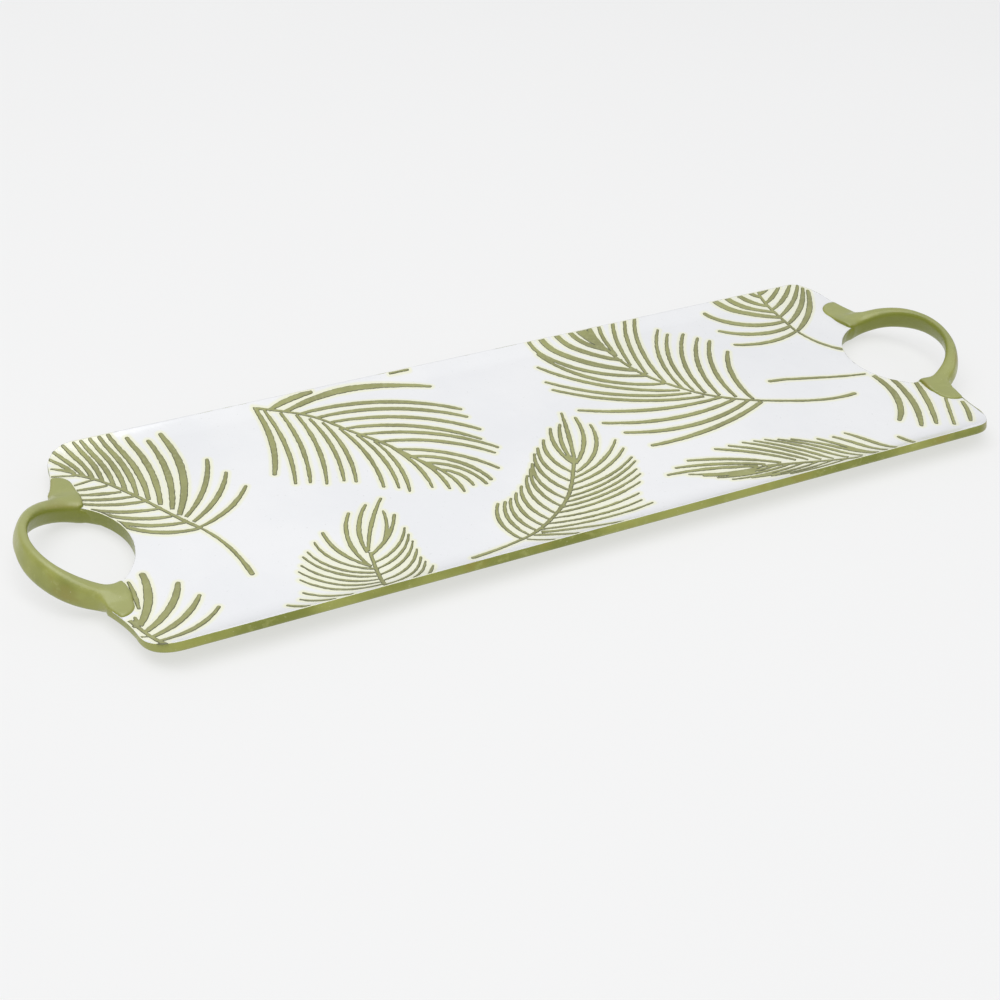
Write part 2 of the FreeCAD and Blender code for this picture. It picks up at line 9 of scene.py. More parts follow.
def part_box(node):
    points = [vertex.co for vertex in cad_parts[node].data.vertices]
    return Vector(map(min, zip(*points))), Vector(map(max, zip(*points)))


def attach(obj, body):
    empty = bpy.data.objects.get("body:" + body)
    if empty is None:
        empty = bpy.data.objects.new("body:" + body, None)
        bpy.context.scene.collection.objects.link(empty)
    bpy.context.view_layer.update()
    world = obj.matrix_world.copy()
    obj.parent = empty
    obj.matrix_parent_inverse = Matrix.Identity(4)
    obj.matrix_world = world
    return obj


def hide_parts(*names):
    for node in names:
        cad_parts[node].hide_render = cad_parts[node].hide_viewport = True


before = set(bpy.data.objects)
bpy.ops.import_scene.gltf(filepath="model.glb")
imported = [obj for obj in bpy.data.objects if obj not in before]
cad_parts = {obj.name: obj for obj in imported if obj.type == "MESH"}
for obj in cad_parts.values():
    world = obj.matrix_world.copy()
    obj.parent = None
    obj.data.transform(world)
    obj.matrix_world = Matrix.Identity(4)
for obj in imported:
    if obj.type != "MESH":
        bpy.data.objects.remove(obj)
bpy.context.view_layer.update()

# Shapes are worked out in millimetres in a flat layout, then bent to the dished tray.
MM = 0.001

# ---- dimensions, the same as the CAD's ----------------------------------
RELIEF = 0.5
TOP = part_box("palm_frond_07")[1].z / MM - RELIEF
HALF_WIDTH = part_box("tray_plate")[1].y / MM
SLAB = 5.0
ENAMEL = 0.8
LIP_RUN = 14.0
LIP_RISE = 3.2
ROUND_TOP = 0.4
ROUND_LOW = 1.0
END_X = {(-1, -1): 250.5, (-1, 1): 250.5, (1, -1): 256.3, (1, 1): 252.5}
FLARE_X = 257.5
FLARE_Y = 51.0
FLARE_START_Y = 74.0
FLARE_SAG = 0.9
ROOT_Y = 46.0
CUT_X = 246.0
CUT_HALF = 34.5
CUT_MIDDLE = {-1: (229.4, 0.0), 1: (220.6, -8.0)}
CUT_FRONT_X = {-1: 246.0, 1: 239.0}
COLLAR_WALL = 4.0
COLLAR_DROP = 8.6

STRAP_X = 247.0
STRAP_REACH = {-1: 36.1, 1: 34.8}
STRAP_HALF = 40.2
STRAP_SLOPE = 0.385
STRAP_DROP = 5.4
STRAP_HEIGHT = 12.6
STRAP_THICK = 5.7
DEEPER = {-1: 2.4, 1: 0.0}
HIGHER = {-1: 0.0, 1: 1.2}
ROOT_HEIGHT = 11.4
ROOT_THICK = 11.0
ROOT_SPREAD = 2.6

FEET = {
    (-1, -1): [(245.3, 34.5), (244.3, 44), (244.4, 52.5), (247, 58.2), (252, 60.5)],
    (-1, 1): [(244.5, 34.5), (242.7, 46), (242.8, 55), (245, 62), (250.5, 65.5)],
    (1, -1): [(244, 34.5), (243.4, 44), (243.8, 52), (247.5, 58), (254.5, 60.5)],
    (1, 1): [(243.5, 34.5), (240.8, 44), (239.2, 54), (242.6, 62.5), (249.5, 66)],
}

LIP_R = (LIP_RUN ** 2 + LIP_RISE ** 2) / (2 * LIP_RISE)
LIP_ANGLE = math.asin(LIP_RUN / LIP_R)
FLAT_Y = HALF_WIDTH - (LIP_R + SLAB - ROUND_LOW) * math.sin(LIP_ANGLE)
EDGE_Y = FLAT_Y + LIP_RUN


# ---- the dish -----------------------------------------------------------
def dished(x, y, depth):
    """Bends points of the flat layout, at depths below the top face, to the tray."""
    x, y, depth = np.broadcast_arrays(np.asarray(x, float), y, depth)
    over = np.clip(np.abs(y) - FLAT_Y, 0, LIP_RUN + 2)
    angle = np.arcsin(over / LIP_R)
    flat_part = np.minimum(np.abs(y), FLAT_Y)
    bent = np.sign(y) * (flat_part + (LIP_R + depth) * np.sin(angle))
    height = TOP + LIP_R - (LIP_R + depth) * np.cos(angle)
    return np.stack([x, bent, height], axis=-1)


def flattened(points):
    """The layout place and the depth of points on the tray."""
    x, y, z = points[..., 0], points[..., 1], points[..., 2]
    beyond = np.maximum(np.abs(y) - FLAT_Y, 0)
    radius = np.hypot(beyond, TOP + LIP_R - z)
    depth = np.where(beyond > 0, radius - LIP_R, TOP - z)
    bent = np.where(beyond > 0, beyond * LIP_R / radius, 0)
    flat_y = np.sign(y) * (np.minimum(np.abs(y), FLAT_Y) + bent)
    return x, flat_y, depth


# ---- meshes -------------------------------------------------------------
def build_mesh(name, points, *face_sets):
    """A smooth mesh from points in mm and arrays of faces."""
    mesh = bpy.data.meshes.new(name)
    mesh.vertices.add(len(points))
    mesh.vertices.foreach_set("co", (np.asarray(points) * MM).astype(np.float32).ravel())
    corners = np.concatenate([faces.ravel() for faces in face_sets]).astype(np.int32)
    sizes = np.concatenate([np.full(len(faces), faces.shape[1]) for faces in face_sets])
    starts = np.concatenate([[0], np.cumsum(sizes)[:-1]]).astype(np.int32)
    mesh.loops.add(len(corners))
    mesh.loops.foreach_set("vertex_index", corners)
    mesh.polygons.add(len(sizes))
    mesh.polygons.foreach_set("loop_start", starts)
    mesh.update(calc_edges=True)
    mesh.validate()
    mesh.shade_smooth()
    return mesh


def add_attribute(mesh, name, values):
    attribute = mesh.attributes.new(name, "FLOAT", "POINT")
    attribute.data.foreach_set("value", np.asarray(values, np.float32))


def add_piece(name, mesh, material, slot, *nodes):
    """Shows a mesh as a piece that stands for CAD nodes."""
    piece = bpy.data.objects.new(name, mesh)
    bpy.context.scene.collection.objects.link(piece)
    mesh.materials.clear()
    mesh.materials.append(material)
    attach(piece, "root")
    if nodes:
        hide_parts(*nodes)
    return piece


def waves(x, y, length, seed):
    """Smooth unevenness between about -1 and 1, with a wavelength in mm."""
    rng = np.random.default_rng(seed)
    total = np.zeros(np.shape(x))
    for turn in np.linspace(0, math.pi, 7, endpoint=False) + rng.uniform(0, 0.4, 7):
        pitch = 2 * math.pi / (length * rng.uniform(0.75, 1.4))
        along = x * math.cos(turn) + y * math.sin(turn)
        total += np.sin(along * pitch + rng.uniform(0, 2 * math.pi))
    return total / 3.2


# ---- distance fields on a grid ------------------------------------------
def signed_distance(segments, xs, ys, reach):
    """Distance to closed outlines, positive inside, as far as a reach."""
    step_x, step_y = xs[1] - xs[0], ys[1] - ys[0]
    distance = np.full((len(ys), len(xs)), float(reach))
    crossings = np.zeros((len(ys), len(xs) + 1), int)
    for ax, ay, bx, by in segments:
        left = max(int((min(ax, bx) - reach - xs[0]) / step_x), 0)
        right = min(int((max(ax, bx) + reach - xs[0]) / step_x) + 2, len(xs))
        low = max(int((min(ay, by) - reach - ys[0]) / step_y), 0)
        high = min(int((max(ay, by) + reach - ys[0]) / step_y) + 2, len(ys))
        dx, dy = bx - ax, by - ay
        if left < right and low < high:
            gx = xs[left:right][None, :] - ax
            gy = ys[low:high][:, None] - ay
            share = (gx * dx + gy * dy) / max(dx * dx + dy * dy, 1e-12)
            share = np.clip(share, 0, 1)
            window = distance[low:high, left:right]
            np.minimum(window, np.hypot(gx - share * dx, gy - share * dy), out=window)
        first = max(math.ceil((min(ay, by) - ys[0]) / step_y), 0)
        last = min(math.ceil((max(ay, by) - ys[0]) / step_y), len(ys))
        for row in range(first, last):
            x = ax + dx * (ys[row] - ay) / dy
            column = min(max(math.ceil((x - xs[0]) / step_x), 0), len(xs))
            crossings[row, column] += 1
    inside = np.cumsum(crossings, axis=1)[:, :-1] % 2 == 1
    return np.where(inside, distance, -distance)


def snapped_grid(field, xs, ys):
    """Grid cells where a field is positive, their border moved onto its edge."""
    step = xs[1] - xs[0]
    inside = field > 0
    cells = inside[:-1, :-1] | inside[1:, :-1] | inside[:-1, 1:] | inside[1:, 1:]
    used = np.zeros_like(inside)
    used[:-1, :-1] |= cells
    used[1:, :-1] |= cells
    used[:-1, 1:] |= cells
    used[1:, 1:] |= cells
    index = np.full(inside.shape, -1)
    index[used] = np.arange(used.sum())
    grad_y, grad_x = np.gradient(field, step)
    steep = np.maximum(grad_x ** 2 + grad_y ** 2, 0.3)
    push = np.where(inside, 0, -field / steep)
    x = (np.broadcast_to(xs[None, :], field.shape) + grad_x * push)[used]
    y = (np.broadcast_to(ys[:, None], field.shape) + grad_y * push)[used]
    faces = np.stack([index[:-1, :-1][cells], index[:-1, 1:][cells],
                      index[1:, 1:][cells], index[1:, :-1][cells]], axis=1)
    return x, y, np.where(inside, field, 0)[used], faces, used


# ---- the tray's outline -------------------------------------------------
def arc_points(a, middle, b, count):
    """Points from a towards b on the circle through middle, without b."""
    (ax, ay), (mx, my), (bx, by) = a, middle, b
    d = 2 * (ax * (my - by) + mx * (by - ay) + bx * (ay - my))
    aa, mm, bb = ax * ax + ay * ay, mx * mx + my * my, bx * bx + by * by
    cx = (aa * (my - by) + mm * (by - ay) + bb * (ay - my)) / d
    cy = (aa * (bx - mx) + mm * (ax - bx) + bb * (mx - ax)) / d
    radius = math.hypot(ax - cx, ay - cy)
    start = math.atan2(ay - cy, ax - cx)
    to_middle = (math.atan2(my - cy, mx - cx) - start) % (2 * math.pi)
    to_end = (math.atan2(by - cy, bx - cx) - start) % (2 * math.pi)
    if to_middle > to_end:
        to_end -= 2 * math.pi
    turns = [start + to_end * i / count for i in range(count)]
    return [(cx + radius * math.cos(t), cy + radius * math.sin(t)) for t in turns]


def line_points(a, b, count):
    """Points from a towards b, without b."""
    return [(a[0] + (b[0] - a[0]) * i / count, a[1] + (b[1] - a[1]) * i / count)
            for i in range(count)]


CUT_STEPS = 48            # steps along a cut-out's curve
CORNER_STEPS = 14         # along a corner, and along a flare
RIB_FADE = 8              # power by which the rib fades in at a cut-out's mouth


def cut_edge(side, inset):
    """The curve of a hand cut-out from front to rear."""
    middle_x, middle_y = CUT_MIDDLE[side]
    half = CUT_HALF + inset
    return arc_points((CUT_FRONT_X[side], -half), (middle_x - inset, middle_y),
                      (CUT_X, half), CUT_STEPS)


def corner_and_flare(side, way, inset):
    """From a long edge round the corner and in to the handle's root."""
    end = END_X[side, way] - inset
    root = FLARE_X - inset
    radius = EDGE_Y - FLARE_START_Y - inset
    corner_x = end - radius
    diag = radius * math.sqrt(0.5)
    flare_mid = ((end + root) / 2 - FLARE_SAG, (FLARE_START_Y + FLARE_Y) / 2)
    points = (
        arc_points((corner_x, EDGE_Y - inset), (corner_x + diag, FLARE_START_Y + diag),
                   (end, FLARE_START_Y), CORNER_STEPS)
        + arc_points((end, FLARE_START_Y), flare_mid, (root, FLARE_Y), CORNER_STEPS)
        + line_points((root, FLARE_Y), (root, ROOT_Y), 3)
        + line_points((root, ROOT_Y), (CUT_X, CUT_HALF + inset), 6))
    return [(x, way * y) for x, y in points]


def end_outline(side, inset):
    """One end of the tray from front to rear, with the share of rib at each point."""
    front = corner_and_flare(side, -1, inset)
    cut_half = CUT_HALF + inset
    if CUT_FRONT_X[side] < CUT_X:
        front += line_points((CUT_X, -cut_half), (CUT_FRONT_X[side], -cut_half), 4)
    cut = cut_edge(side, inset)
    rear = [(CUT_X, cut_half)] + corner_and_flare(side, 1, inset)[::-1]
    points = front + cut + rear
    ribs = [0.0] * len(front)
    ribs += [1.0 - abs(2 * i / CUT_STEPS - 1) ** RIB_FADE for i in range(len(cut))]
    ribs += [0.0] * len(rear)
    return [(side * x, y) for x, y in points], ribs


LONG_STEPS = 90           # steps along a long edge


def outline(inset):
    """The whole plan, drawn in by an inset, anticlockwise. The count never changes."""
    right, right_ribs = end_outline(1, inset)
    left, left_ribs = end_outline(-1, inset)
    left, left_ribs = left[::-1], left_ribs[::-1]
    rear = line_points(right[-1], left[0], LONG_STEPS)[1:]
    front = line_points(left[-1], right[0], LONG_STEPS)[1:]
    ribs = right_ribs + [0.0] * len(rear) + left_ribs + [0.0] * len(front)
    return np.array(right + rear + left + front), np.array(ribs)


def closed_segments(points):
    """Each point with the one after it, as rows of four."""
    return np.concatenate([points, np.roll(points, -1, axis=0)], axis=1)


FILL_X = 9.0              # spacing of the points that fill the flat faces
FILL_Y = 4.0
FILL_HALF_X = 264         # how far out they are tried
FILL_HALF_Y = 96
FILL_CLEAR = 2.8          # how far they stay off the faces' outlines


def fill_inside(loop):
    """Points inside a loop and the triangles that join them to it."""
    xs = np.arange(-FILL_HALF_X, FILL_HALF_X, FILL_X)
    ys = np.arange(-FILL_HALF_Y, FILL_HALF_Y, FILL_Y)
    field = signed_distance(closed_segments(loop), xs, ys, FILL_X)
    grid_x, grid_y = np.meshgrid(xs, ys)
    clear = field > FILL_CLEAR
    inner = np.stack([grid_x[clear], grid_y[clear]], axis=1)
    points = np.concatenate([loop, inner])
    result = delaunay_2d_cdt([Vector(p) for p in points], [], [list(range(len(loop)))],
                             1, 1e-6)
    source = [origins[0] for origins in result[3]]
    triangles = np.array([[source[v] for v in face] for face in result[2]])
    return inner, triangles


# ---- the plate ----------------------------------------------------------
BEND = [math.radians(a) for a in (0, 18, 36, 54, 72, 90)]
EDGE_ROUND = 1.3          # rounding of the plate's lower edge
RIB_ROUND = 1.3           # rounding of the rib's inner lower edge
RIB_BASE = 0.4            # how low the rib's root already hangs
UNDER_INSET = 7.0         # ring where the flat underside starts
UPPER_INSET = 5.0         # ring where the flat floor of the pocket starts


def plate_mesh():
    """Rounded slab with a rib under each hand cut-out."""
    inner = COLLAR_WALL
    flat_depths = []
    rib_depths = []
    insets = []

    def ring(inset, flat_depth, rib_depth):
        insets.append(inset)
        flat_depths.append(flat_depth)
        rib_depths.append(rib_depth)

    ring(UNDER_INSET, SLAB, SLAB)
    ring(inner + 1.2, SLAB, SLAB)
    ring(inner + 0.3, SLAB, SLAB + RIB_BASE)
    for a in BEND:
        ring(inner - RIB_ROUND * (1 - math.cos(a)), SLAB,
             COLLAR_DROP - RIB_ROUND * (1 - math.sin(a)))
    for a in BEND[::-1]:
        ring(EDGE_ROUND * (1 - math.cos(a)), SLAB - EDGE_ROUND * (1 - math.sin(a)),
             COLLAR_DROP - EDGE_ROUND * (1 - math.sin(a)))
    ring(0.0, SLAB * 0.6, SLAB)
    for a in BEND:
        drop = ROUND_TOP * (1 - math.sin(a))
        ring(ROUND_TOP * (1 - math.cos(a)), drop, drop)
    ring(ROUND_TOP + 0.1, ENAMEL, ENAMEL)
    ring(UPPER_INSET, ENAMEL, ENAMEL)

    loops = []
    for inset, flat_depth, rib_depth in zip(insets, flat_depths, rib_depths):
        plan, ribs = outline(inset)
        depth = flat_depth + (rib_depth - flat_depth) * ribs
        loops.append(np.column_stack([plan, depth]))
    count = len(loops[0])
    points = np.concatenate(loops)
    step = np.arange(count)
    after = (step + 1) % count
    quads = []
    for i in range(len(loops) - 1):
        low, high = i * count, (i + 1) * count
        quads.append(np.column_stack([low + step, low + after, high + after, high + step]))
    caps = []
    for i, facing_up in ((0, False), (len(loops) - 1, True)):
        inner_points, triangles = fill_inside(loops[i][:, :2])
        shift = len(points) - count
        place = np.where(triangles < count, triangles + i * count, triangles + shift)
        caps.append(place if facing_up else place[:, ::-1])
        depths = np.full(len(inner_points), loops[i][0, 2])
        points = np.concatenate([points, np.column_stack([inner_points, depths])])
    mesh = build_mesh("tray_plate_casting", dished(*points.T), *quads, *caps)
    # the rib's share marks the cut-outs' walls, which the coated metal darkens as painted shade
    inside = np.zeros(len(points))
    inside[:count * len(loops)] = np.tile(ribs, len(loops))
    add_attribute(mesh, "painted_shade_inside_loop", inside)
    return mesh


# ---- fronds and enamel --------------------------------------------------
GRID = 0.4
FIELD_X = np.arange(-256, 256, GRID)
FIELD_Y = np.arange(-93, 93, GRID)
REACH = 3.2               # distances to the fronds are worked out this far
RAGGED = 0.10             # unevenness of the fronds' outlines
SHOULDER = 0.85           # width of a leaflet's rounded shoulder
GLAZE_DIP = 0.08          # how far the relief's foot sits under the glaze
GLAZE_INSET = 0.1         # the glaze runs out over the rounded rim
GLAZE_SKIRT = 0.3         # depth of the skirt that closes its rim
GLAZE_RISE = 0.06         # its height over the top face, and its fall to the rim
GLAZE_FALL = 0.10
GLAZE_EDGE = 0.8          # how far in that fall starts
WETTING = 0.05            # how high it climbs at the relief, and how far out
WETTING_REACH = 0.6
GLAZE_WAVES = (0.035, 0.012)


def relief_outline(node):
    """Edge segments, in the flat layout, of a frond's top face."""
    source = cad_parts[node].data
    points = np.empty(len(source.vertices) * 3, np.float32)
    source.vertices.foreach_get("co", points)
    x, y, depth = flattened(points.reshape(-1, 3).astype(float) / MM)
    source.calc_loop_triangles()
    triangles = np.empty(len(source.loop_triangles) * 3, np.int32)
    source.loop_triangles.foreach_get("vertices", triangles)
    triangles = triangles.reshape(-1, 3)
    on_top = (depth[triangles] < -RELIEF * 0.9).all(axis=1)
    seen = {}
    for triangle in triangles[on_top]:
        for a, b in zip(triangle, np.roll(triangle, -1)):
            ends = ((round(x[a], 3), round(y[a], 3)), (round(x[b], 3), round(y[b], 3)))
            key = (min(ends), max(ends))
            seen[key] = seen.get(key, 0) + 1
    return [a + b for (a, b), uses in seen.items() if uses == 1 and a != b]


def frond_field(node):
    """Distance inside a frond, in a window of the whole field."""
    segments = relief_outline(node)
    ends = np.array(segments).reshape(-1, 2)
    low, high = ends.min(axis=0) - REACH, ends.max(axis=0) + REACH
    columns = slice(*np.searchsorted(FIELD_X, [low[0], high[0]]))
    rows = slice(*np.searchsorted(FIELD_Y, [low[1], high[1]]))
    xs, ys = FIELD_X[columns], FIELD_Y[rows]
    field = signed_distance(segments, xs, ys, REACH)
    grid_x, grid_y = np.meshgrid(xs, ys)
    field += RAGGED * waves(grid_x, grid_y, 4.0, 5) + RAGGED * waves(grid_x, grid_y, 13.0, 6)
    return rows, columns, xs, ys, field


def frond_mesh(name, xs, ys, field):
    """Crowned relief with rounded shoulders."""
    x, y, inward, faces, _ = snapped_grid(field, xs, ys)
    rise = 1 - np.clip(inward / SHOULDER, 0, 1)
    height = RELIEF * 0.96 * np.sqrt(np.maximum(1 - rise ** 2, 0)) - GLAZE_DIP * rise ** 4
    height += 0.03 * waves(x, y, 3.0, 8) * (inward > 0.3)
    mesh = build_mesh(name + "_relief", dished(x, y, -np.minimum(height, RELIEF)), faces)
    add_attribute(mesh, "inward", inward)
    return mesh


def border_edges(faces):
    """Edges with one face only, in the order their face has them."""
    edges = np.stack([faces, np.roll(faces, -1, axis=1)], axis=2).reshape(-1, 2)
    ranked = np.sort(edges, axis=1)
    _, first, uses = np.unique(ranked, axis=0, return_index=True, return_counts=True)
    return edges[first[uses == 1]]


def enamel_mesh(nearness):
    """The glaze, slightly uneven, raised where it wets the relief, over the rim's edge."""
    xs, ys = FIELD_X[::2], FIELD_Y[::2]
    plan, _ = outline(GLAZE_INSET)
    field = signed_distance(closed_segments(plan), xs, ys, REACH)
    x, y, inward, faces, used = snapped_grid(field, xs, ys)
    near = nearness[::2, ::2][used]
    edge = 1 - np.clip(inward / GLAZE_EDGE, 0, 1)
    height = GLAZE_RISE - GLAZE_FALL * edge ** 2
    height += WETTING * np.exp(np.minimum(near, 0) / WETTING_REACH)
    long_wave, short_wave = GLAZE_WAVES
    height += (long_wave * waves(x, y, 34.0, 2) + short_wave * waves(x, y, 11.0, 3)) * (1 - edge)
    rim = border_edges(faces)
    below = np.full(len(x), -1)
    used_rim = np.unique(rim)
    below[used_rim] = len(x) + np.arange(len(used_rim))
    skirt = np.column_stack([rim[:, 1], rim[:, 0], below[rim[:, 0]], below[rim[:, 1]]])
    x = np.append(x, x[used_rim])
    y = np.append(y, y[used_rim])
    height = np.append(height, height[used_rim] - GLAZE_SKIRT)
    near = np.append(near, near[used_rim])
    mesh = build_mesh("enamel_glaze", dished(x, y, -height), faces, skirt)
    add_attribute(mesh, "near_frond", near)
    return mesh


# ---- handles ------------------------------------------------------------
VOXEL = 0.7               # grid for the handles' castings
SECTION_POWER = 2.8       # 2 is an oval section, more is squarer
FOOT_CROWN = 1.2          # how far the feet stand above the top face
FOOT_ROUND = 1.4
FOOT_INSET = 0.15         # how far they stay inside the plate's end
RING_THICK = 4.4          # section of the loop where it has joined the rib
RING_TOP = -0.6
RING_LOW = -8.5
RING_LENGTH = 24.0        # how far the casting runs on along the cut-out
STRAP_STEPS = 32          # steps from the loop's middle to a root
RING_STEPS = 14           # steps from there along the cut-out
MELT = 7.0                # reach of the fillet between loop and feet
NEAR = 13.0               # distances are worked out this far from a shape


def blend(a, b, share):
    """From a to b as the share goes from 0 to 1, with no corner at either end."""
    share = min(max(share, 0.0), 1.0)
    return a + (b - a) * share * share * (3 - 2 * share)


def strap_stations(side, way):
    """From the middle of the loop to its root at one side."""
    tilt = math.atan(STRAP_SLOPE)
    stations = []
    for i in range(STRAP_STEPS + 1):
        angle = math.pi / 2 * i / STRAP_STEPS
        end_share = math.sin(angle) ** ROOT_SPREAD
        reach = STRAP_REACH[side] * math.cos(angle)
        below = DEEPER[side] * math.sin(2 * angle) if way < 0 else 0.0
        above = HIGHER[side] * math.sin(2 * angle) if way > 0 else 0.0
        shift = (above - below) / 2
        height = STRAP_HEIGHT + (ROOT_HEIGHT - STRAP_HEIGHT) * end_share + above + below
        stations.append((STRAP_X + reach - shift * math.sin(tilt),
                         way * STRAP_HALF * math.sin(angle),
                         STRAP_SLOPE * reach - STRAP_DROP + shift * math.cos(tilt),
                         (STRAP_THICK + (ROOT_THICK - STRAP_THICK) * end_share) / 2,
                         height / 2, tilt))
    return stations


def ring_stations(side, way):
    """From the root along the rim of the cut-out, melting into the rib."""
    edge = cut_edge(side, 0.0) + [(CUT_X, CUT_HALF)]
    edge = np.array(edge[::-1] if way > 0 else [(CUT_X, -CUT_HALF)] + edge)
    lengths = np.append(0, np.cumsum(np.hypot(*np.diff(edge, axis=0).T)))

    def on_edge(gone):
        return np.array([np.interp(gone, lengths, edge[:, k]) for k in range(2)])

    stations = []
    for i in range(1, RING_STEPS + 1):
        gone = RING_LENGTH * i / RING_STEPS
        run = on_edge(gone + 1) - on_edge(gone - 1)
        away = way * np.array([run[1], -run[0]]) / np.hypot(*run)
        thick = blend(ROOT_THICK, RING_THICK, gone / 12) / 2
        top = blend(0.3, RING_TOP, gone / 3)
        low = blend(-STRAP_DROP - ROOT_HEIGHT / 2, RING_LOW, gone / 16)
        sunk = blend(-0.12, 0.35, (gone / RING_LENGTH - 0.6) / 0.4)
        x, y = on_edge(gone) + away * (thick + sunk)
        tilt = blend(math.atan(STRAP_SLOPE), 0.0, gone / 6)
        stations.append((x, y, (top + low) / 2, thick, (top - low) / 2, tilt))
    return stations


def loop_path(side):
    """Stations along the handle: centre, half thickness, half height and tilt."""
    front = strap_stations(side, -1) + ring_stations(side, -1)
    rear = strap_stations(side, 1) + ring_stations(side, 1)
    path = np.array(front[:0:-1] + rear)
    path[:, 0] *= side
    path[:, 2] += TOP
    return path


def loop_distance(side, grid, steps):
    """Rough distance outside the loop, of points on a grid."""
    path = loop_path(side)
    nearest = np.full(grid.shape[:-1], np.inf)
    centre = np.zeros(grid.shape)
    along = np.zeros(grid.shape)
    sizes = np.ones(grid.shape)
    for a, b in zip(path[:-1], path[1:]):
        window = tuple(slice(*np.searchsorted(step, (min(low, high) - NEAR, max(low, high) + NEAR)))
                       for step, low, high in zip(steps, a[:3], b[:3]))
        run = b[:3] - a[:3]
        share = np.clip(((grid[window] - a[:3]) @ run) / (run @ run), 0, 1)
        place = a[:3] + share[..., None] * run
        gap = ((grid[window] - place) ** 2).sum(axis=-1)
        closer = gap < nearest[window]
        nearest[window][closer] = gap[closer]
        centre[window][closer] = place[closer]
        along[window][closer] = run / np.linalg.norm(run)
        sizes[window][closer] = a[3:] + share[closer][:, None] * (b[3:] - a[3:])
    tilt = sizes[..., 2]
    tall = np.stack([-side * np.sin(tilt), np.zeros_like(tilt), np.cos(tilt)], axis=-1)
    thick = np.cross(along, tall)
    thick /= np.maximum(np.linalg.norm(thick, axis=-1, keepdims=True), 1e-9)
    offset = grid - centre
    u = np.abs((offset * thick).sum(axis=-1)) / sizes[..., 0]
    v = np.abs((offset * tall).sum(axis=-1)) / sizes[..., 1]
    round_off = (u ** SECTION_POWER + v ** SECTION_POWER) ** (1 / SECTION_POWER)
    size = np.hypot(u * sizes[..., 0], v * sizes[..., 1])
    return np.where(np.isfinite(nearest), size * (1 - 1 / np.maximum(round_off, 0.05)), NEAR)


def foot_plan(side, way):
    """The outline of one foot, as far as the plate's edge."""
    inset = FOOT_INSET
    end = END_X[side, way]
    flare_mid = ((end + FLARE_X) / 2 - FLARE_SAG, (FLARE_START_Y + FLARE_Y) / 2)
    corner, shoulder, belly, lobe, tip = FEET[side, way]
    flare = arc_points((FLARE_X - inset, FLARE_Y), (flare_mid[0] - inset, flare_mid[1]),
                       (end - inset, FLARE_START_Y), 24)
    plan = (
        [(CUT_X, CUT_HALF)]
        + arc_points(corner, shoulder, belly, 10)
        + arc_points(belly, lobe, tip, 10)
        + [tip]
        + [p for p in flare[::-1] if p[1] < tip[1]]
        + [(FLARE_X - inset, ROOT_Y)])
    return np.array([(side * x, way * y) for x, y in plan])


def crowned(outside, zs):
    """Distance outside a slab with rounded edges, from that outside its plan."""
    low, high = TOP - SLAB + 0.3, TOP + FOOT_CROWN
    above = np.abs(zs - (low + high) / 2)[None, None, :] - (high - low) / 2
    over = np.maximum(outside + FOOT_ROUND, 0)
    up = np.maximum(above + FOOT_ROUND, 0)
    inner = np.minimum(np.maximum(outside, above) + FOOT_ROUND, 0)
    return np.hypot(over, up) + inner - FOOT_ROUND


def melted(a, b, reach):
    """Two distances joined with a fillet."""
    share = np.maximum(reach - np.abs(a - b), 0) / reach
    return np.minimum(a, b) - share * share * reach / 4


def surface_of(field, xs, ys, zs):
    """Points and quads of the surface where a gridded distance is zero."""
    steps = (xs, ys, zs)
    cells = tuple(n - 1 for n in field.shape)
    total = np.zeros(cells + (3,))
    count = np.zeros(cells)
    crossings = []
    for axis in range(3):
        low = np.take(field, range(field.shape[axis] - 1), axis)
        high = np.take(field, range(1, field.shape[axis]), axis)
        where = np.argwhere((low < 0) != (high < 0))
        f0, f1 = low[tuple(where.T)], high[tuple(where.T)]
        point = np.stack([steps[k][where[:, k]] for k in range(3)], axis=1)
        point[:, axis] += VOXEL * f0 / (f0 - f1)
        b, c = (axis + 1) % 3, (axis + 2) % 3
        corners = []
        for back_b, back_c in ((1, 1), (0, 1), (0, 0), (1, 0)):
            cell = where.copy()
            cell[:, b] -= back_b
            cell[:, c] -= back_c
            corners.append(cell)
            np.add.at(total, tuple(cell.T), point)
            np.add.at(count, tuple(cell.T), 1)
        crossings.append((corners, f0 < 0))
    used = count > 0
    index = np.full(cells, -1)
    index[used] = np.arange(used.sum())
    quads = []
    for corners, outwards in crossings:
        quad = np.stack([index[tuple(cell.T)] for cell in corners], axis=1)
        quads.append(np.where(outwards[:, None], quad, quad[:, ::-1]))
    return total[used] / count[used][:, None], np.concatenate(quads)


def relaxed(points, quads, turns):
    """Points moved towards their neighbours' mean, a little at a time."""
    a, b = quads.ravel(), np.roll(quads, -1, axis=1).ravel()
    links = np.bincount(a, minlength=len(points)) + np.bincount(b, minlength=len(points))
    for _ in range(turns):
        total = np.zeros_like(points)
        np.add.at(total, a, points[b])
        np.add.at(total, b, points[a])
        points = points + 0.5 * (total / links[:, None] - points)
    return points


